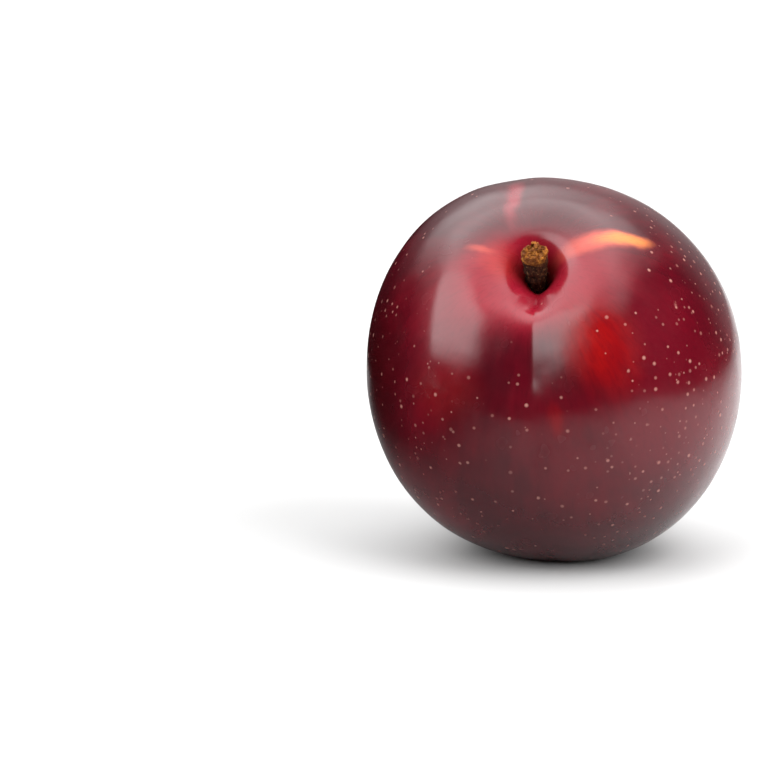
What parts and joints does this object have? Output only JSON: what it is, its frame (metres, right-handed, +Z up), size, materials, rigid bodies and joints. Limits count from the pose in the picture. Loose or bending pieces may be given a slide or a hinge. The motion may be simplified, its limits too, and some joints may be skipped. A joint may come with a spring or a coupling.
{
  "type": "plum",
  "caption": "Whole dark red plum lying on its flank, with a seam, a stalk cavity and a short dried stalk, for food and still-life scenes.",
  "frame": {"origin": "On the table, under the middle of the fruit's box.", "axes": "+Z up from the table. The stalk end leans towards -Y, and the seam faces -Y. +X is to the right of someone who looks along +Y."},
  "size_m": [0.062, 0.0612, 0.0623],
  "materials": {
    "skin": "waxy skin with a soft gloss, a thin pale bloom and small pale dots",
    "stalk": "dry, rough bark with a torn, lighter end"
  },
  "bodies": {
    "root": {"fruit": "skin", "stem": "stalk"}
  },
  "joints": []
}
